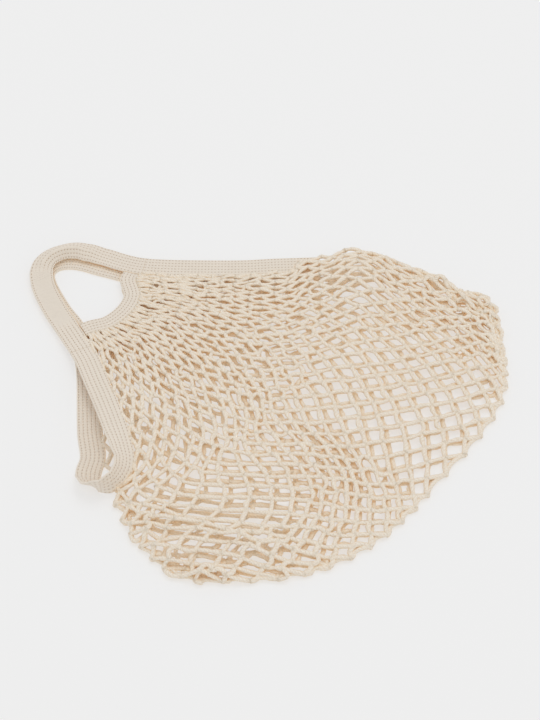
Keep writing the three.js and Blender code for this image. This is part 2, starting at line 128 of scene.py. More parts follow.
# The line that the tape follows round the mouth. x and y are shares of the bag's length and depth, lift is a
# share of mouthLift, and in degrees come the tilt of the tape and the turn of its outer and inner half.
frontTape = table("x y lift tilt outer inner", [
    [0.118, 0.420, 0.35, 0, 0, 0],
    [0.040, 0.416, 0.35, 0, 0, 0],
    [-0.050, 0.413, 0.2, 0, 0, 0],
    [-0.124, 0.413, 0.2, 0, 0, 0],
    [-0.202, 0.415, 0.2, 0, 0, 0],
    [-0.256, 0.420, 0.2, 0, 0, 0],
    [-0.286, 0.429, 0.15, 0, 0, 0],
    [-0.316, 0.443, 0.1, 0, 0, 0],
    [-0.345, 0.457, 0.1, 0, 0, 0],
    [-0.381, 0.467, 0.1, 0, 12, 25],
    [-0.410, 0.469, 0.1, 0, 26, 50],
    [-0.434, 0.463, 0.1, 0, 33, 60],
    [-0.456, 0.449, 0.1, 0, 30, 55],
    [-0.472, 0.428, 0.1, 0, 20, 35],
    [-0.477, 0.402, 0.1, 0, 6, 12],
    [-0.473, 0.370, 0.05, 0, 0, 0],
    [-0.464, 0.338, 0.05, 0, 0, 0],
    [-0.436, 0.270, 0.05, 0, 0, 0],
    [-0.413, 0.224, 0.1, 0, 0, 0],
    [-0.390, 0.177, 0.2, 0, 0, 0],
    [-0.372, 0.139, 0.35, 0, 0, 0],
    [-0.354, 0.094, 0.6, 0, 0, 0],
    [-0.335, 0.035, 0.9, 0, 0, 0],
    [-0.317, -0.017, 1.0, 0, 0, 0],
    [-0.292, -0.096, 1.0, 8, 0, 0],
    [-0.270, -0.172, 0.6, 28, 0, 0],
    [-0.264, -0.208, 0.3, 44, 0, 0],
    [-0.270, -0.241, 0.12, 60, 0, 0],
    [-0.287, -0.268, 0.08, 78, 0, 0],
    [-0.310, -0.274, 0.05, 104, 0, 0],
    [-0.329, -0.255, 0, 140, 0, 0],
    [-0.334, -0.222, 0, 170, 0, 0],
    [-0.329, -0.171, 0, 180, 0, 0],
    [-0.339, -0.103, 0, 180, 0, 0],
    [-0.347, -0.007, 0, 180, 0, 0],
    [-0.352, 0.055, 0, 180, 0, 0],
    [-0.357, 0.098, 0, 180, 0, 0],
    [-0.365, 0.143, 0, 180, 0, 0],
])
# rows of that table where a piece ends or the tape changes layer
farFoot, nearFoot, turnEnd, layerChange, backNetEnd, backTapeEnd = 5, 20, 28, 30, 32, 37
lastRow = len(frontTape["x"]) - 1

# How far the tape of the back is drawn in towards the bag, as a share of its width
backDraw = table("row inward", [
    [0, 0.1], [4, 0.2], [6, 0.4], [8, 0.48], [10, 0.3], [12, 0.12], [14, 0.05], [16, 0.15], [18, 0.28],
    [20, 0.15], [21, 0.08],
])

scoopLine = table("x y", [[-0.276, 0.322], [-0.283, 0.288], [-0.300, 0.256], [-0.325, 0.229]])
scoopFarRow, scoopNearRow, backScoopDraw = 5.6, 18.7, 0.12
farCrossingRow, farLiftRow, farRestRow = 0.85, 1.1, 2.2

# into how many steps each line is read
lineSteps = {
    "scoop": 240,
    "tape": 60,
    "backFoot": 11,
    "backReturn": 39,
    "fold": 48,
    "ridge": 40,
    "turnUnder": 15,
}

tapeCurve = SmoothLine(places(frontTape))


def valueAt(key, row):
    k = min(max(int(math.floor(row)), 0), lastRow - 1)
    return mix(frontTape[key][k], frontTape[key][k + 1], ease(row - k))


# The tape's line at a row: its place, its heading, its length in mm to a row, and the way to its right
def tapeLine(row):
    ahead, behind = min(row + 0.02, lastRow), max(row - 0.02, 0)
    way = tapeCurve.at(ahead / lastRow) - tapeCurve.at(behind / lastRow)
    heading = unit(way)
    stride = np.linalg.norm(way) / (ahead - behind)
    return tapeCurve.at(row / lastRow), heading, stride, unit(np.cross(heading, up))


def section(centre, heading, outward, outer=0.0, inner=0.0):
    face = unit(np.cross(outward, heading))
    return {"centre": centre, "outward": outward, "face": face, "outer": outer, "inner": inner}


def tapeUnderside(row):
    onFloor = ease((row - turnEnd) / (layerChange - turnEnd))
    return upperLayer * (1 - onFloor) + bag["mouthLift"] * valueAt("lift", row)


def frontSection(row):
    centre, heading, _, right = tapeLine(row)
    tilt, outer, inner = (math.radians(valueAt(key, row)) for key in ("tilt", "outer", "inner"))
    drop = max(math.sin(outer), math.sin(inner), math.sin(tilt)) * bag["tapeWidth"] / 2
    height = tapeUnderside(row) + drop + bag["tapeThickness"] / 2 * max(abs(math.cos(tilt)), 0.3)
    centre = np.array([centre[0], centre[1], height])
    return section(centre, heading, right * math.cos(tilt) + up * math.sin(tilt), outer, inner)


def drawAt(row):
    rows, inward = backDraw["row"], backDraw["inward"]
    k = max(1, int(np.argmax(rows >= row)))
    share = ease((row - rows[k - 1]) / (rows[k] - rows[k - 1]))
    return bag["tapeWidth"] * mix(inward[k - 1], inward[k], share)


farTapeTop = tapeUnderside(0) + bag["tapeThickness"]
backCurve = SmoothLine([tapeLine(row)[0] - tapeLine(row)[3] * drawAt(row) for row in range(nearFoot + 2)])


def backSection(row):
    share = row / (nearFoot + 1)
    heading = unit(backCurve.at(min(share + 1e-4, 1)) - backCurve.at(max(share - 1e-4, 0)))
    centre = backCurve.at(share)
    onNet = 1 - ease((row - farLiftRow) / (farRestRow - farLiftRow))
    centre[2] = upperLayer * onNet + bag["tapeThickness"] / 2
    return section(centre, -heading, unit(np.cross(heading, up)))


def rowsBetween(start, end, step):
    way = 1 if end > start else -1
    rows = [start]
    while (end - rows[-1]) * way > 0:
        rows.append(rows[-1] + way * step / tapeLine(rows[-1])[2])
    rows[-1] = end
    return rows


def besideTape(item, z):
    level = item["outward"] * [1, 1, 0]
    share = np.linalg.norm(level)
    edge = bag["tapeThickness"] / 2 * math.sqrt(max(0, 1 - share * share)) + bag["layerGap"]
    point = item["centre"] - unit(level) * (share * bag["tapeWidth"] / 2 + edge)
    return np.array([point[0], point[1], z])


def scoopSections(sectionAt, shift, underside, step):
    farEnd, nearEnd = sectionAt(scoopFarRow), sectionAt(scoopNearRow)
    nudge = bag["layerGap"] - bag["scoopEndGap"]
    start = besideTape(farEnd, 0) + farEnd["outward"] * nudge
    finish = besideTape(nearEnd, 0) + nearEnd["outward"] * nudge
    lead = bag["scoopWidth"] / 2
    farLead, nearLead = start - farEnd["outward"] * lead, finish - nearEnd["outward"] * lead
    run = [start, farLead, *places(scoopLine), nearLead, finish]
    line = MeasuredLine(SmoothLine(run).run(lineSteps["scoop"]))
    count = round(line.lengths[-1] / step)
    sections = []
    for k in range(count + 1):
        t = k / count
        heading = unit((line.at(min(t + 0.004, 1)) - line.at(max(t - 0.004, 0))) * [1, 1, 0])
        outward = np.cross(heading, up)
        centre = line.at(t) - outward * shift * math.sin(math.pi * t)
        centre[2] = mix(underside(scoopFarRow), underside(scoopNearRow), t) + bag["scoopThickness"] / 2
        sections.append(section(centre, heading, outward))
    return sections


# making meshes
def meshPiece(name, points, faceGroups, uvGroups, material):
    mesh = bpy.data.meshes.new(name)
    points = np.asarray(points, float) * mm - np.array([*bag["middle"], 0.0]) * mm
    corners = np.concatenate([group.reshape(-1) for group in faceGroups]).astype(np.int32)
    sizes = np.concatenate([np.full(len(group), group.shape[1]) for group in faceGroups]).astype(np.int32)
    mesh.vertices.add(len(points))
    mesh.vertices.foreach_set("co", points.astype(np.float32).ravel())
    mesh.loops.add(len(corners))
    mesh.loops.foreach_set("vertex_index", corners)
    mesh.polygons.add(len(sizes))
    mesh.polygons.foreach_set("loop_start", np.concatenate([[0], np.cumsum(sizes)[:-1]]).astype(np.int32))
    mesh.polygons.foreach_set("loop_total", sizes)
    mesh.polygons.foreach_set("use_smooth", np.ones(len(sizes), bool))
    mesh.update(calc_edges=True)
    uvs = np.concatenate([group.reshape(-1, 2) for group in uvGroups]).astype(np.float32)
    mesh.uv_layers.new(name="weave").data.foreach_set("uv", uvs.ravel())
    mesh.validate()
    mesh.materials.append(material)
    piece = bpy.data.objects.new(name, mesh)
    bpy.context.scene.collection.objects.link(piece)
    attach(piece, "root")
    return piece


# Quads between the rings of swept sections, with their places round and along. The points are numbered by
# item, ring and side.
def ringFaces(items, rings, sides, first, around, along):
    item, ring, side = np.meshgrid(np.arange(items), np.arange(rings - 1), np.arange(sides), indexing="ij")
    after = (side + 1) % sides

    def corner(r, k):
        return first + (item * rings + r) * sides + k

    quads = [corner(ring, side), corner(ring + 1, side), corner(ring + 1, after), corner(ring, after)]
    across = [around[side], around[side], around[side + 1], around[side + 1]]
    lengthwise = [along[item, ring], along[item, ring + 1], along[item, ring + 1], along[item, ring]]
    uvs = np.stack([np.stack(across, -1), np.stack(lengthwise, -1)], -1)
    return np.stack(quads, -1).reshape(-1, 4), uvs.reshape(-1, 4, 2)


def capFaces(items, rings, sides, first):
    item = np.arange(items)[:, None]
    side = np.arange(sides)[None, :]
    start = first + item * rings * sides + side
    end = first + (item * rings + rings - 1) * sides + side[:, ::-1]
    return np.concatenate([start, end]), np.zeros((2 * items, sides, 2))


# the knitted tape
tape = {
    "ribs": 6,
    "scoopRibs": 5,
    "stitch": 3.6,
    "step": 1.0,
    "ribEdges": (-0.5, -0.26, -0.13, -0.055, 0.0, 0.055, 0.13, 0.26),
    "grooveDepth": 0.3,
    "grooveWidth": 0.55,
    "chainDepth": 0.16,
    "edgeRound": 1.1,
    "edgeThickness": 0.35,
    "edgeRelief": 0.3,
    "creaseShare": 0.16,
    "plainRun": (0.47, 0.87),
    "plainEdge": 0.85,
    "plainFade": 20,
    "twillLines": 3.0,
    "twillSlant": 4.0,
    "twillHeight": 1.4,
    "twillFade": 0.25,
    "twillEdgeFade": 6.0,
    "color": (0.865, 0.785, 0.685, 1),
    # shadeColor: painted shade in the knit's holes
    "shadeColor": (0.42, 0.25, 0.13, 1),
    "seamColor": (0.82, 0.73, 0.62, 1),
    "holeSharpness": 2.2,
    "holeShade": 0.95,
    "patchScale": 22.0,
    "patchFrom": 0.35,
    "patchStrength": 0.9,
    "fibreScale": 1400.0,
    "fibreFrom": 0.45,
    "fibreStrength": 0.8,
    "roughness": 0.93,
    "sheen": 0.25,
    "gloss": 0.2,
    "chainBump": 0.5,
    "holeBump": 0.9,
    "fibreBump": 0.6,
    "bump": 0.7,
    "bumpDistance": 0.0006,
    # painted shade in the hollows: the warm colour blended in where ambient occlusion finds close surfaces,
    # and how far it looks
    "hollowShadeColor": (0.98, 0.81, 0.58, 1),
    "hollowShadeReach": 0.007,
}


# The mesh's lengthwise edges, as distances from the tape's middle; they lie closest in each groove
def tapeStations(ribs, width):
    band = width / ribs
    stations = [(-width / 2) + band * (k + 0.5 + edge) for k in range(ribs) for edge in tape["ribEdges"]]
    return np.array([*stations, width / 2])


# Each station's place across and above the tape's middle, where its two halves are turned by a slope
def bentAcross(stations, slope):
    zero = np.abs(stations).argmin()
    reaches = []
    for part in (np.cos(slope), np.sin(slope)):
        steps = (part[:, 1:] + part[:, :-1]) / 2 * np.diff(stations)[None, :]
        reach = np.concatenate([np.zeros((len(slope), 1)), np.cumsum(steps, axis=1)], 1)
        reaches.append(reach - reach[:, zero:zero + 1])
    return reaches[0] + stations[zero], reaches[1]


# Height of the stitches. plain: where along the tape its plain side shows, as shares of its length
def tapeRelief(stations, along, width, ribs, plain):
    band = width / ribs
    fromGroove = np.abs((stations / band + ribs / 2) % 1.0 - 0.5) * band
    groove = np.exp(-((fromGroove / tape["grooveWidth"]) ** 2))[None, :]
    beat = (0.5 + 0.5 * np.cos(2 * math.pi * along / tape["stitch"])[:, None]) ** 1.5
    relief = -tape["grooveDepth"] * groove * beat**2 + tape["chainDepth"] * (1 - groove) * (1 - beat)
    share = along[:, None] / along[-1]
    smooth = ease((share - plain[0]) * tape["plainFade"]) * ease((plain[1] - share) * tape["plainFade"])
    smooth = smooth * (np.abs(stations) < width / 2 - tape["plainEdge"] * band)[None, :]
    return relief * (1 - smooth)


def sweptTape(name, sections, width, thickness, ribs, material, plain=(0.0, 0.0)):
    stations = tapeStations(ribs, width)
    keys = ("centre", "outward", "face", "outer", "inner")
    centre, outward, face, outer, inner = (np.array([item[key] for item in sections]) for key in keys)
    along = np.concatenate([[0.0], np.cumsum(np.linalg.norm(np.diff(centre, axis=0), axis=1))])
    crease = tape["creaseShare"] * width / 2
    blend = ease((stations[None, :] / crease + 1) / 2)
    slope = inner[:, None] * (1 - blend) - outer[:, None] * blend
    x, z = bentAcross(stations, slope)
    relief = tapeRelief(stations, along, width, ribs, plain)
    fromEdge = np.clip((width / 2 - np.abs(stations)) / tape["edgeRound"], 0, 1)[None, :]
    rounded = tape["edgeThickness"] + (1 - tape["edgeThickness"]) * np.sqrt(1 - (1 - fromEdge) ** 2)
    half = (thickness / 2 * rounded + relief * np.clip(fromEdge, tape["edgeRelief"], 1))[..., None]
    spine = centre[:, None, :] + outward[:, None, :] * x[..., None] + face[:, None, :] * z[..., None]
    normal = face[:, None, :] * np.cos(slope)[..., None] - outward[:, None, :] * np.sin(slope)[..., None]
    ring = np.concatenate([(spine + normal * half)[:, ::-1], spine - normal * half], axis=1)
    ring[..., 2] = np.maximum(ring[..., 2], 0)
    count, sides = ring.shape[:2]
    across = stations / (width / ribs) + ribs / 2
    around = np.concatenate([across[::-1], across, across[-1:]])
    faces, uvs = ringFaces(1, count, sides, 0, around, (along / tape["stitch"])[None, :])
    caps, capUvs = capFaces(1, count, sides, 0)
    print(name, "tape of", round(along[-1]), "mm")
    piece = meshPiece(name, ring.reshape(-1, 3), [faces, caps], [uvs, capUvs], material)
    return piece, along[-1] * mm


# shader maths: a wire is a socket's value, and sums on wires add their nodes
class Wire:
    def __init__(self, shader, socket):
        self.shader, self.socket = shader, socket

    def maths(self, operation, *values, **settings):
        sockets = dict(enumerate((self, *values)))
        return self.shader.node("ShaderNodeMath", {"operation": operation, **settings}, sockets)

    def __add__(self, other):
        return self.maths("ADD", other)

    __radd__ = __add__

    def __mul__(self, other):
        return self.maths("MULTIPLY", other)

    __rmul__ = __mul__

    def __sub__(self, other):
        return self.maths("SUBTRACT", other)

    def __rsub__(self, other):
        return self.shader.node("ShaderNodeMath", {"operation": "SUBTRACT"}, {0: other, 1: self})

    def __pow__(self, power):
        return self.maths("POWER", power)

    def fraction(self):
        return self.maths("FRACT")

    def size(self):
        return self.maths("ABSOLUTE")

    def sine(self):
        return self.maths("SINE")

    def clamped(self):
        return self.maths("ADD", 0.0, use_clamp=True)


class Shader:
    def __init__(self, name):
        self.material = bpy.data.materials.new(name)
        self.material.use_nodes = True
        self.tree = self.material.node_tree
        self.surface = self.tree.nodes["Principled BSDF"]

    def node(self, kind, settings=(), sockets=(), output=0):
        made = self.tree.nodes.new(kind)
        for key, value in dict(settings).items():
            setattr(made, key, value)
        for key, value in dict(sockets).items():
            self.feed(made.inputs[key], value)
        return Wire(self, made.outputs[output])

    def feed(self, socket, value):
        if isinstance(value, Wire):
            self.tree.links.new(value.socket, socket)
        else:
            socket.default_value = value

    def weave(self):
        where = self.node("ShaderNodeUVMap", {"uv_map": "weave"})
        across = self.node("ShaderNodeSeparateXYZ", {}, {"Vector": where})
        return across, Wire(self, across.socket.node.outputs["Y"])

    def noise(self, scale, detail=2.0, roughness=0.5):
        where = self.node("ShaderNodeTexCoord", output="Object")
        sockets = {"Vector": where, "Scale": scale, "Detail": detail, "Roughness": roughness}
        return self.node("ShaderNodeTexNoise", {}, sockets)

    def blend(self, share, first, second):
        # a Mix node's colour sockets are its inputs 6 and 7 and its output 2
        return self.node("ShaderNodeMix", {"data_type": "RGBA"}, {0: share, 6: first, 7: second}, output=2)

    # painted shade: the colour is blended towards a warm shade where ambient occlusion finds close cords or
    # stitches, standing in for light bounced between them
    def paintedHollowShade(self, color, cloth):
        reach = {"Distance": cloth["hollowShadeReach"]}
        openness = self.node("ShaderNodeAmbientOcclusion", {"samples": 6}, reach, output="AO")
        return self.blend((1 - openness).clamped(), color, cloth["hollowShadeColor"])

    def finish(self, color, height, cloth):
        inputs = self.surface.inputs
        # the base colour carries painted shade in its hollows
        self.feed(inputs["Base Color"], self.paintedHollowShade(color, cloth))
        self.feed(inputs["Roughness"], cloth["roughness"])
        self.feed(inputs["Sheen Weight"], cloth["sheen"])
        self.feed(inputs["Specular IOR Level"], cloth["gloss"])
        bump = {"Strength": cloth["bump"], "Distance": cloth["bumpDistance"], "Height": height}
        self.feed(inputs["Normal"], self.node("ShaderNodeBump", {}, bump))
        return self.material


# plain: the stitches between which the tape's plain, twilled side shows
def tapeCotton(name, plain=(0.0, 0.0)):
    shader = Shader(name)
    across, along = shader.weave()
    started, left = (along - plain[0]) * tape["twillFade"], (plain[1] - along) * tape["twillFade"]
    fromEdge = tape["ribs"] / 2 - (across - tape["ribs"] / 2).size()
    onPlain = ((fromEdge - tape["plainEdge"]) * tape["twillEdgeFade"]).clamped()
    smooth = started.clamped() * left.clamped() * onPlain
    slant = (across * 0.5).fraction() * tape["twillSlant"]
    twill = ((along * tape["twillLines"] + slant) * math.pi).sine() * 0.5 + 0.5
    groove = (1 - (across.fraction() - 0.5).size() * 6.0).clamped()
    beat = ((along * (2 * math.pi) + math.pi / 2).sine() * 0.5 + 0.5) ** tape["holeSharpness"]
    pit = groove * beat * (1 - smooth)
    chain = ((along * (2 * math.pi) - math.pi / 2).sine() * 0.5 + 0.5) * (1 - groove)
    chain = chain * (1 - smooth) + twill * smooth * tape["twillHeight"]
    fibre = shader.noise(tape["fibreScale"], 3.0, 0.6)
    patch = shader.noise(tape["patchScale"])
    patch = (patch - tape["patchFrom"]) * tape["patchStrength"]
    fuzz = (fibre - tape["fibreFrom"]).clamped() * tape["fibreStrength"]
    base = shader.blend(patch, tape["color"], tape["seamColor"])
    base = shader.blend(fuzz, base, tape["seamColor"])
    # painted shade: the knit's holes are blended towards the dark shadeColor
    color = shader.blend((pit * tape["holeShade"]).clamped(), base, tape["shadeColor"])
    height = chain * tape["chainBump"] - pit * tape["holeBump"] + fibre * tape["fibreBump"]
    return shader.finish(color, height, tape)


# the net's cord
cord = {
    "width": 4.8,
    "height": 3.5,
    "rimThinner": 0.22,
    "endThicker": 0.12,
    "sides": 7,
    "rings": 5,
    "lump": 0.14,
    "knotWidth": 5.4,
    "knotLength": 5.8,
    "knotSides": 7,
    "knotRings": (-1.0, -0.65, 0.0, 0.65, 1.0),
    "knotLean": (6.0, 6.0, 1.0),
    "knotUneven": 0.07,
    "knotRimThinner": 1.4,
    "knotTurn": 1.4,
    "knotLumps": 0.1,
    "plies": 3,
    "twist": 12.0,
    "color": (0.945, 0.87, 0.755, 1),
    "paleColor": (0.96, 0.905, 0.815, 1),
    # shadeColor: the colour of the random fibre flecks and of the painted shade between the plies
    "shadeColor": (0.78, 0.60, 0.43, 1),
    "valleyShade": 0.38,
    "patchScale": 35.0,
    "patchFrom": 0.4,
    "patchStrength": 0.8,
    "looseScale": 260.0,
    "looseness": 0.9,
    "fibreScale": 900.0,
    "fibreFrom": 0.47,
    "fibreStrength": 2.6,
    "roughness": 0.94,
    "sheen": 0.25,
    "gloss": 0.2,
    "plyBump": 0.3,
    "fibreBump": 0.8,
    "bump": 0.7,
    "bumpDistance": 0.0009,
    # painted shade in the hollows: the warm colour blended in where ambient occlusion finds close cords, and
    # how far it looks
    "hollowShadeColor": (0.97, 0.79, 0.55, 1),
    "hollowShadeReach": 0.01,
}
squash = cord["height"] / cord["width"]


def cordCotton():
    shader = Shader("twistedCottonCord")
    around, along = shader.weave()
    fibre = shader.noise(cord["fibreScale"], 3.0, 0.6)
    patch = shader.noise(cord["patchScale"])
    loose = shader.noise(cord["looseScale"]) * cord["looseness"]
    turns = around * cord["plies"] + along * (cord["plies"] / cord["twist"]) + loose
    ply = (turns * math.pi).sine().size()
    valley = (1 - ply) ** 2
    patch = (patch - cord["patchFrom"]).clamped() * cord["patchStrength"]
    fuzz = (fibre - cord["fibreFrom"]).clamped() * cord["fibreStrength"]
    base = shader.blend(patch, cord["color"], cord["paleColor"])
    base = shader.blend(fuzz, base, cord["shadeColor"])
    # painted shade: the valleys between the plies are blended towards shadeColor
    color = shader.blend((valley * cord["valleyShade"]).clamped(), base, cord["shadeColor"])
    return shader.finish(color, ply * cord["plyBump"] + fibre * cord["fibreBump"], cord)


# Flattened tubes along runs of centres, with three lumps round them that turn from ring to ring
def tubes(centres, radii, sides, first, turn=0.0, lumps=0.0):
    items, rings = centres.shape[:2]
    way = np.gradient(centres, axis=1)
    way /= np.maximum(np.linalg.norm(way, axis=2, keepdims=True), 1e-9)
    side = np.cross(way, up)
    side /= np.maximum(np.linalg.norm(side, axis=2, keepdims=True), 1e-9)
    lift = np.cross(side, way)
    angle = np.linspace(0, 2 * math.pi, sides + 1)[:-1]
    wave = 1 + lumps * np.sin(3 * angle[None, None, :] + np.arange(rings)[None, :, None] * turn)
    reach = radii[..., None] * wave
    points = centres[:, :, None, :] + side[:, :, None, :] * (reach * np.cos(angle))[..., None]
    points = points + lift[:, :, None, :] * (squash * reach * np.sin(angle))[..., None]
    steps = np.linalg.norm(np.diff(centres, axis=1), axis=2)
    along = np.concatenate([np.zeros((items, 1)), np.cumsum(steps, axis=1)], 1)
    around = np.arange(sides + 1) / sides
    faces, uvs = ringFaces(items, rings, sides, first, around, along)
    caps, capUvs = capFaces(items, rings, sides, first)
    return points.reshape(-1, 3), [faces, caps], [uvs, capUvs]


# the net
net = {
    "columns": 26,
    "halfRows": 30,
    "strand": 18.0,
    "rowRun": 375.0,
    "rimColumn": 3.0,
    "bottomColumn": 11.5,
    "rimEase": 0.1,
    "farCrowd": 0.3,
    "nearCrowd": 0.3,
    "crowdUntil": 0.2,
    "crowdFade": 0.8,
    "farPull": 2.2,
    "nearPull": 1.3,
    "nearShift": (35.0, 15.0),
    "nearShiftAt": 0.74,
    "nearShiftLength": 0.16,
    "farTurnUp": 0.1,
    "bunch": 0.62,
    "bunchAt": 0.72,
    "bunchLength": 0.17,
    "bunchWidth": 0.12,
    "foldFrom": 0.5,
    "foldFade": 3.0,
    "foldWidth": 0.2,
    "wander": 0.8,
    "wanderAtRim": 0.35,
    "rimWander": 4.5,
    "rimDepth": 1.1,
    "foldWander": 2.6,
    "foldBow": 0.34,
    "foldLift": 4.5,
    "bow": 0.6,
    "slackBow": 0.12,
    "droop": 0.6,
    "sink": 8.5,
    "ridgeLift": 8.0,
    "ridgeWidth": 8.0,
    "ridgeDraw": 0.78,
    "ridgeReach": 34.0,
    "ridgeInset": 0.125,
    "tuck": 1.6,
    "returnGap": 0.5,
    "scallop": 4.0,
    "backShift": (4.0, 6.0),
    "backShiftAtRim": 0.6,
    "backShiftGrowth": 0.8,
    "layerDrop": 4.0,
    "closeness": 0.85,
    "nearTurn": 0.57,
    "farTurn": 0.54,
    "nearMeet": 0.55,
    "farMeet": 0.66,
    "seed": 11,
}
nearFold = table("x y", [
    [-0.280, -0.300], [-0.262, -0.345], [-0.234, -0.398], [-0.204, -0.443], [-0.166, -0.480],
    [-0.120, -0.500],
])
bottomEdge = table("x y", [
    [-0.120, -0.500], [-0.030, -0.503], [0.053, -0.493], [0.154, -0.451], [0.260, -0.354], [0.342, -0.240],
    [0.412, -0.142], [0.471, -0.040], [0.496, 0.049], [0.496, 0.166], [0.490, 0.240],
])
farFold = table("x y rise", [
    [0.148, 0.446, 1], [0.172, 0.468, 0.7], [0.207, 0.480, 0.35], [0.238, 0.471, 0.1], [0.268, 0.455, 0],
    [0.298, 0.437, 0], [0.332, 0.419, 0], [0.369, 0.393, 0], [0.408, 0.364, 0], [0.448, 0.329, 0],
    [0.476, 0.290, 0], [0.490, 0.240, 0],
])
farCrossing = table("x y", [[0.055, 0.392], [0.075, 0.415], [0.098, 0.437], [0.124, 0.445]])
nearRidge = table("x y", [
    [-0.270, -0.300], [-0.200, -0.345], [-0.100, -0.385], [0.020, -0.405], [0.120, -0.400],
])


# One side of the net: along the tape as far as turn, then along the fold
class SideLine:
    def __init__(self, tapeRun, foldRun, turn):
        self.tape, self.fold, self.turn = MeasuredLine(tapeRun), MeasuredLine(foldRun), turn

    def at(self, share):
        share = np.asarray(share, float)
        onTape = self.tape.at(np.clip(share / self.turn, 0, 1))
        onFold = self.fold.at(np.clip((share - self.turn) / (1 - self.turn), 0, 1))
        return np.where((share < self.turn)[..., None], onTape, onFold)


def smoothEdge(rows, z, rise=0.0):
    return SmoothLine(places(rows, z + rise * rows["rise"] if "rise" in rows else z)).run(lineSteps["fold"])


# Beside the tape's inner edge, moved out to where the net is tucked in under it
def tucked(item, z):
    return besideTape(item, z) + unit(item["outward"] * [1, 1, 0]) * (net["tuck"] + bag["layerGap"])


def besideFront(row, front):
    return tucked(frontSection(row), tapeUnderside(row) if front else 0.0)


# Near its far end the tape runs on under the net, which rises over it
def besideFar(row):
    point = besideFront(row, True)
    over = 1 - ease((row - farLiftRow) / (farRestRow - farLiftRow))
    point[2] = mix(point[2], farTapeTop + bag["layerGap"], over)
    return point


def netEdges(front, scoop):
    fold = upperLayer if front else 0.0
    overTape = farTapeTop + bag["layerGap"] if front else 0.0
    lead = bag["scoopWidth"] / 2
    rim = []
    for item in scoop:
        point = item["centre"] - item["outward"] * (lead - net["tuck"])
        point[2] = item["centre"][2] - bag["scoopThickness"] / 2
        rim.append(point)
    nearStart = scoopNearRow + lead / tapeLine(scoopNearRow)[2]
    farStart = scoopFarRow - lead / tapeLine(scoopFarRow)[2]
    farRows = np.linspace(farStart, farCrossingRow, lineSteps["tape"] + 1)
    if front:
        nearRows = np.linspace(nearStart, turnEnd, lineSteps["tape"] + 1)
        nearTape = [besideFront(row, True) for row in nearRows]
        farTape = [besideFar(row) for row in farRows]
    else:
        footRows = np.linspace(nearStart, nearFoot, lineSteps["backFoot"] + 1)
        returnRows = np.linspace(backTapeEnd - net["returnGap"], backNetEnd, lineSteps["backReturn"] + 1)
        nearTape = [tucked(backSection(row), 0.0) for row in footRows]
        nearTape += [besideFront(row, False) for row in returnRows]
        farTape = [tucked(backSection(row), 0.0) for row in farRows]
    nearRun = smoothEdge(nearFold, fold)
    farRun = smoothEdge(farFold, fold, overTape - fold if front else 0.0)
    return {
        "rim": MeasuredLine([nearTape[0], *rim[::-1], farTape[0]]),
        "near": SideLine([*nearTape, nearRun[0]], nearRun, net["nearTurn"]),
        "far": SideLine([*farTape, *places(farCrossing, overTape), farRun[0]], farRun, net["farTurn"]),
        "bottom": MeasuredLine(smoothEdge(bottomEdge, fold)),
    }


# Where each half row lies from the rim to the bottom; where the columns are wider its share is less
def rowShares():
    shares = [0.0]
    for _ in range(net["halfRows"]):
        column = mix(net["rimColumn"], net["bottomColumn"], shares[-1])
        shares.append(shares[-1] + math.sqrt(net["strand"] ** 2 - column**2) / net["rowRun"])
    return np.array(shares) / shares[-1]


# 1 in the middle of a run from 0 to 1, and 0 at its ends
def swell(share):
    return 1 - (2 * share - 1) ** 4


# Places on a layer of the net: u from the near side to the far side, v from the rim to the bottom
def netPoints(edges, front, u, v):
    rise, fall = ease(v / net["rimEase"]), ease((v - net["crowdUntil"]) / net["crowdFade"])
    u = u + mix(net["farCrowd"] * rise, net["nearCrowd"], fall) * u * (1 - u)
    bunched = np.exp(-(((v - net["bunchAt"]) / net["bunchLength"]) ** 2) - (u / net["bunchWidth"]) ** 2)
    u = u * (1 - net["bunch"] * bunched)
    end = u + net["farTurnUp"] * np.sin(2 * math.pi * np.clip(u - 0.5, 0, 0.5)) * v**2
    rim, bottom = edges["rim"].at(u), edges["bottom"].at(end)
    near, far = edges["near"].at(v), edges["far"].at(v)
    corners = [edges["rim"].at(0.0), edges["rim"].at(1.0), edges["bottom"].at(0.0), edges["bottom"].at(1.0)]
    a, b = u[..., None], v[..., None]
    nearBulge = near - corners[0] * (1 - b) - corners[2] * b
    farBulge = far - corners[1] * (1 - b) - corners[3] * b
    points = rim * (1 - b) + bottom * b
    points = points + nearBulge * (1 - a) ** net["nearPull"] + farBulge * a ** net["farPull"]
    shifted = np.exp(-(((v - net["nearShiftAt"]) / net["nearShiftLength"]) ** 2))
    shifted = shifted * np.sin(math.pi * np.clip(2 * u, 0, 1))
    points[..., :2] += shifted[..., None] * np.array(net["nearShift"])
    if front:
        away = np.hypot(points[..., 0] - bag["humpX"], points[..., 1] - bag["humpY"]) / bag["humpSpread"]
        hump = np.exp(-away * away / 2)
        crown = (bag["crownLift"] - net["sink"] * (1 - hump)) * swell(v)
        points[..., 2] += swell(u) * (crown + bag["humpLift"] * hump)
    return points


# The front is drawn up into a low ridge where it folds over beside the near corner
def drawnToRidge(points):
    steps = lineSteps["ridge"]
    ridge = MeasuredLine(SmoothLine(places(nearRidge)).run(steps)).at(np.linspace(0, 1, steps + 1))[:, :2]
    apart = points[..., None, :2] - ridge
    away = np.linalg.norm(apart, axis=-1)
    nearest = away.argmin(axis=-1)
    distance = np.take_along_axis(away, nearest[..., None], -1)
    towards = -np.take_along_axis(apart, nearest[..., None, None], -2)[..., 0, :]
    fade = ease(3 - 3 * nearest / steps)[..., None]
    points[..., :2] += towards * fade * net["ridgeDraw"] * np.exp(-((distance / net["ridgeReach"]) ** 2))
    left = distance * (1 - net["ridgeDraw"])
    points[..., 2:] += fade * net["ridgeLift"] * np.exp(-((left / net["ridgeWidth"]) ** 2))
    return points


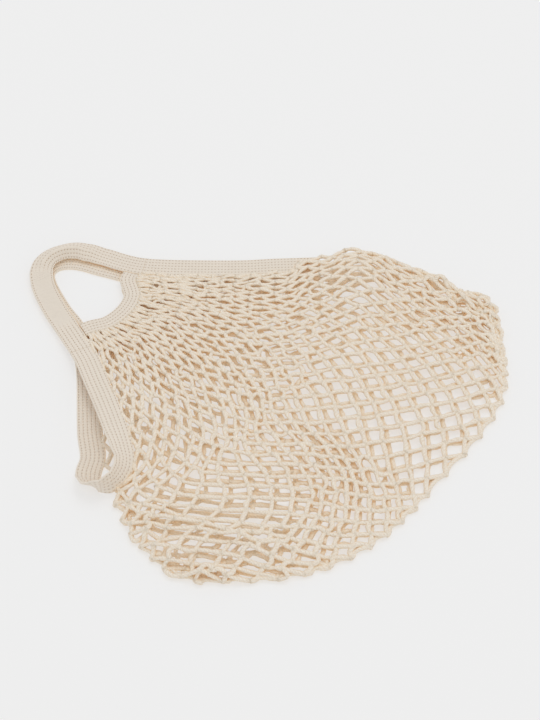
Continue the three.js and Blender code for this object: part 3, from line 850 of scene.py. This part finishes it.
# The back lies a little aside under the front and close to it, away from the edges
def backPoints(edges, frontEdges, u, v):
    points, above = netPoints(edges, False, u, v), netPoints(frontEdges, True, u, v)
    inner = 1 - (np.maximum(np.abs(2 * u - 1), np.abs(2 * v - 1))) ** 4
    aside = net["backShiftAtRim"] + net["backShiftGrowth"] * v
    points[..., :2] += (inner * aside)[..., None] * np.array(net["backShift"])
    close = np.maximum(above[..., 2] - net["layerDrop"], 0)
    points[..., 2] = mix(points[..., 2], close, net["closeness"] * inner)
    return points


# The places of the knots, by half row and column; every second half row is half a column aside and one
# knot shorter, which leaves a spare
def netGrid():
    columns, halfRows = net["columns"], net["halfRows"]
    row, column = np.meshgrid(np.arange(halfRows + 1), np.arange(columns + 1), indexing="ij")
    u = np.clip((column + 0.5 * (row % 2)) / columns, 0, 1)
    v = np.broadcast_to(rowShares()[:, None], u.shape)
    fromSide = np.minimum(u, 1 - u)
    besideFold = np.clip(1 - fromSide / net["foldWidth"], 0, 1)
    # the two layers meet at the folds and at the bottom
    onFold = v > np.where(u < 0.5, net["nearMeet"], net["farMeet"])
    atFold = np.clip(1 - fromSide * columns, 0, 1) * onFold
    atBottom = np.clip(1 - (halfRows - row) / 2, 0, 1)
    return {
        "u": u,
        "v": v,
        "fromSide": fromSide,
        "meet": np.maximum(atFold, atBottom),
        "onEdge": (u <= 0) | (u >= 1) | (row == 0) | (row == halfRows),
        "spare": (row % 2 == 1) & (column >= columns),
        "folded": np.clip((v - net["foldFrom"]) * net["foldFade"], 0, 1) * besideFold,
        "crowded": (1 - v) ** 3,
    }


def netNodes(front, edges, frontEdges, grid, random):
    u, v, folded, crowded, onEdge = (grid[key] for key in ("u", "v", "folded", "crowded", "onEdge"))
    if front:
        nodes = netPoints(edges, True, u, v)
        fromSide, fromBottom = grid["fromSide"] / net["ridgeInset"], (1 - v) / net["ridgeInset"]
        inner = np.clip(fromSide, 0, 1) * np.clip(fromBottom, 0, 1)
        nodes = mix(nodes, drawnToRidge(nodes.copy()), inner[..., None])
    else:
        nodes = backPoints(edges, frontEdges, u, v)
    loose = (net["wander"] + folded * net["foldWander"]) * np.minimum(1, net["wanderAtRim"] + v)
    jitter = random.normal(size=nodes.shape) * loose[..., None] * [1, 1, 0.5]
    down = np.gradient(nodes, axis=0)
    down /= np.linalg.norm(down, axis=2, keepdims=True)
    jitter += down * (random.normal(size=u.shape).clip(-1.6, 1.6) * crowded * net["rimWander"])[..., None]
    jitter[..., 2] += random.normal(size=u.shape) * crowded * net["rimDepth"]
    jitter[..., 2] += np.abs(random.normal(size=u.shape)) * folded * net["foldLift"]
    nodes = nodes + np.where(onEdge[..., None], 0, jitter)
    nodes[..., 2] += cord["height"] / 2
    middle = upperLayer / 2 + cord["height"] / 2
    nodes[..., 2] = np.where(onEdge, mix(nodes[..., 2], middle, grid["meet"]), nodes[..., 2])
    nodes[..., 2] = np.maximum(nodes[..., 2], cord["height"] / 2)
    return nodes


# Half row and column of each strand's start, and column of its end in the next half row
def strandEnds():
    columns, ends = net["columns"], []
    for j in range(net["halfRows"]):
        odd = j % 2
        for i in range(columns + 1 - odd):
            for k in (i, i + 1) if odd else (i, i - 1):
                if 0 <= k < columns + odd:
                    ends.append((j, i, k))
    return np.array(ends).T


# A bow along each cord: nothing at its ends and 1 in the middle
def arch(t):
    return (4 * t * (1 - t))[None, :, None]


def strandTubes(nodes, grid, t, random):
    j, i, k = strandEnds()
    starts = nodes[j, i]
    gap = nodes[j + 1, k] - starts
    length = np.linalg.norm(gap, axis=1)
    aside = np.cross(gap / length[:, None], up)
    slack = np.sqrt(np.clip(net["strand"] ** 2 - length**2, 0, None))
    slack = slack * mix(net["slackBow"], net["foldBow"], grid["folded"][j, i])
    bow = random.normal(size=len(gap)) * (net["bow"] + slack)
    droop = random.normal(size=len(gap)) * net["droop"]
    centres = starts[:, None] + gap[:, None] * t[None, :, None]
    centres = centres + (aside * bow[:, None] + up * droop[:, None])[:, None] * arch(t)
    centres[..., 2] = np.maximum(centres[..., 2], cord["height"] / 2)
    thinner = 1 - cord["rimThinner"] * (1 - grid["v"][j, i])[:, None] ** 2
    radii = cord["width"] / 2 * (1 + cord["endThicker"] * (2 * t - 1) ** 4)[None, :] * thinner
    radii = radii * (1 + cord["lump"] * random.normal(size=radii.shape).clip(-2, 2))
    return centres, radii, cord["sides"], 0.0, 0.0


# Each knot is a short, fat tube; the front also has those on the folds and the bottom edge
def knotTubes(nodes, grid, front, random):
    shown = ~grid["spare"] & (~grid["onEdge"] | (front & (grid["meet"] > 0.9)))
    knots = nodes[shown]
    lean = np.roll(nodes, -1, axis=0) - np.roll(nodes, 1, axis=0)
    lean[0], lean[-1] = lean[1], lean[-2]
    lean = lean[shown] + random.normal(size=knots.shape) * cord["knotLean"]
    lean = lean / np.linalg.norm(lean, axis=1, keepdims=True)
    ring = np.array(cord["knotRings"])
    thinner = 1 - cord["knotRimThinner"] * cord["rimThinner"] * grid["crowded"][shown]
    size = (1 + random.normal(size=len(knots)) * cord["knotUneven"]) * thinner
    reach = (ring * cord["knotLength"] / 2)[None, :, None] * size[:, None, None]
    centres = knots[:, None] + lean[:, None] * reach
    girth = np.sqrt(np.clip(1 - ring**2, 0.08, 1)) * cord["knotWidth"] / 2
    centres[..., 2] = np.maximum(centres[..., 2], squash * girth[None, :])
    return centres, girth[None, :] * size[:, None], cord["knotSides"], cord["knotTurn"], cord["knotLumps"]


# The chain along the bottom, a little slack between its knots
def chainTubes(nodes, t):
    rim = nodes[-1, : net["columns"] + 1 - net["halfRows"] % 2]
    inwards = (nodes[-3, : len(rim) - 1] - rim[:-1]) * [1, 1, 0]
    inwards /= np.linalg.norm(inwards, axis=1, keepdims=True)
    centres = rim[:-1, None] + (rim[1:] - rim[:-1])[:, None] * t[None, :, None]
    centres = centres + inwards[:, None] * net["scallop"] * arch(t)
    return centres, np.full(centres.shape[:2], cord["width"] / 2), cord["sides"], 0.0, 0.0


def netPiece(name, front, edges, frontEdges, material):
    random = np.random.default_rng(net["seed"] + (0 if front else 1))
    grid = netGrid()
    nodes = netNodes(front, edges, frontEdges, grid, random)
    t = np.linspace(0, 1, cord["rings"] + 1)
    runs = [strandTubes(nodes, grid, t, random), knotTubes(nodes, grid, front, random)]
    print(name, len(runs[0][0]), "strands and", len(runs[1][0]), "knots")
    if front:
        runs.append(chainTubes(nodes, t))
    points, faces, uvs = np.zeros((0, 3)), [], []
    for centres, radii, sides, turn, lumps in runs:
        more, moreFaces, moreUvs = tubes(centres, radii, sides, len(points), turn, lumps)
        points, faces, uvs = np.concatenate([points, more]), faces + moreFaces, uvs + moreUvs
    points[:, 2] = np.maximum(points[:, 2], 0)
    return meshPiece(name, points, faces, uvs, material)


# camera, floor and light
view = {
    "lens": 77.65,
    "sensor": 36.0,
    "clip": (0.05, 60.0),
    "above": 48.0,
    "from": (0.0095248, -1.0148604, 1.1890317),
    "floorSize": 16.0,
    "floorDrop": 0.0001,
    "floorColor": (0.41, 0.41, 0.41, 1),
    "floorRoughness": 0.6,
    "floorSpeck": 0.1,
    "speckScale": 9.0,
    "glowColor": (1.0, 1.0, 1.0, 1),
    "floorGlow": 0.495,
    "skyStrength": 0.78,
    "skyColor": (1.0, 1.0, 1.0, 1),
    "bounces": 12,
    "keyFrom": (2.0, 2.4, 8.0),
    "keySize": 4.4,
    "keyPower": 90.0,
    "keyColor": (1.0, 0.995, 0.99),
}

lens = bpy.data.cameras.new("camera")
lens.lens, lens.sensor_width = view["lens"], view["sensor"]
lens.clip_start, lens.clip_end = view["clip"]
camera = bpy.data.objects.new("camera", lens)
camera.location = view["from"]
camera.rotation_euler = (math.radians(90 - view["above"]), 0, 0)
bpy.context.scene.collection.objects.link(camera)
bpy.context.scene.camera = camera

bpy.ops.mesh.primitive_plane_add(size=view["floorSize"], location=(0, 0, -view["floorDrop"]))
floor = bpy.context.object
floor.name = "floor"
paint = Shader("paleFloor")
speck = paint.noise(view["speckScale"])
paint.feed(paint.surface.inputs["Base Color"], view["floorColor"])
paint.feed(paint.surface.inputs["Roughness"], speck * view["floorSpeck"] + view["floorRoughness"])
paint.feed(paint.surface.inputs["Specular IOR Level"], 0.0)
paint.feed(paint.surface.inputs["Emission Color"], view["glowColor"])
paint.feed(paint.surface.inputs["Emission Strength"], view["floorGlow"])
floor.data.materials.append(paint.material)

sky = bpy.data.worlds.new("studio")
bpy.context.scene.world = sky
sky.use_nodes = True
sky.node_tree.nodes["Background"].inputs[0].default_value = view["skyColor"]
sky.node_tree.nodes["Background"].inputs[1].default_value = view["skyStrength"]

softbox = bpy.data.lights.new("softbox", "AREA")
softbox.shape, softbox.size, softbox.energy = "SQUARE", view["keySize"], view["keyPower"]
softbox.color = view["keyColor"]
key = bpy.data.objects.new("softbox", softbox)
key.location = view["keyFrom"]
key.rotation_euler = (-Vector(view["keyFrom"])).to_track_quat("-Z", "Y").to_euler()
bpy.context.scene.collection.objects.link(key)
bpy.context.scene.view_settings.view_transform = "Standard"
bpy.context.scene.cycles.diffuse_bounces = view["bounces"]
print("camera, floor and light made")


# the pieces
tapeMaterial, cordMaterial = tapeCotton("ribbedCottonTape"), cordCotton()
fullTape = (bag["tapeWidth"], bag["tapeThickness"], tape["ribs"])
narrowTape = (bag["scoopWidth"], bag["scoopThickness"], tape["scoopRibs"], tapeMaterial)


# The far tape is one strip: along the back, folded over at its far end, and along the front
def farSections():
    below = [backSection(row) for row in rowsBetween(farFoot, 0, tape["step"])]
    above = [frontSection(row) for row in rowsBetween(0, farFoot, tape["step"])]
    low, high = below[-1]["centre"], above[0]["centre"]
    along = unit((low - below[-2]["centre"]) * [1, 1, 0])
    middle, half = (low + high) / 2, (high - low) / 2
    radius = np.linalg.norm(half)
    fold = []
    for angle in np.linspace(0, math.pi, lineSteps["turnUnder"] + 1)[1:-1]:
        centre = middle - half * math.cos(angle) + along * radius * math.sin(angle)
        fold.append(section(centre, along * math.cos(angle) + up * math.sin(angle), above[0]["outward"]))
    return below + fold + above


# The near tape ends at the foot of the back handle, and its last three steps make way for that
def nearSections():
    rows = rowsBetween(nearFoot, backTapeEnd, tape["step"])[:-3]
    return [frontSection(row) for row in rows] + [backSection(nearFoot)]


tapes = {
    "handle_front": [frontSection(row) for row in rowsBetween(farFoot, nearFoot, tape["step"])],
    "handle_back": [backSection(row) for row in rowsBetween(nearFoot, farFoot, tape["step"])],
    "side_band_near": nearSections(),
    "side_band_far": farSections(),
}
tapePieces = {
    "handle_front": ("frontHandleTape", "folded", ["backHandleTape"]),
    "handle_back": ("backHandleTape", "laid", ["floor"]),
    "side_band_near": ("nearSideTape", "folded", ["floor", "backNet"]),
    "side_band_far": ("farSideTape", "folded", ["floor"]),
}
handle = np.array([item["centre"] for item in tapes["handle_front"]])
stitches = np.linalg.norm(np.diff(handle, axis=0), axis=1).sum() / tape["stitch"]
handleMaterial = tapeCotton("cottonHandleTape", [share * stitches for share in tape["plainRun"]])
for node, (name, held, under) in tapePieces.items():
    shown = (handleMaterial, tape["plainRun"]) if node == "handle_front" else (tapeMaterial,)
    piece, long = sweptTape(name, tapes[node], *fullTape, *shown)
    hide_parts(node)

frontScoop = scoopSections(frontSection, 0.0, tapeUnderside, tape["step"])
backScoop = scoopSections(backSection, backScoopDraw * bag["scoopWidth"], lambda row: 0.0, tape["step"])
scoopPieces = {
    "scoop_band_front": ("frontScoopTape", frontScoop, ["backScoopTape"]),
    "scoop_band_back": ("backScoopTape", backScoop, ["floor"]),
}
for node, (name, sections, under) in scoopPieces.items():
    piece, long = sweptTape(name, sections, *narrowTape)
    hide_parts(node)

frontEdges, backEdges = netEdges(True, frontScoop), netEdges(False, backScoop)
netPieces = {"net_front": ("frontNet", frontEdges, "backNet"), "net_back": ("backNet", backEdges, "floor")}
# the net's front and back layers
for node, (name, edges, under) in netPieces.items():
    piece = netPiece(name, edges is frontEdges, edges, frontEdges, cordMaterial)
    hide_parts(node)
print("all pieces made")
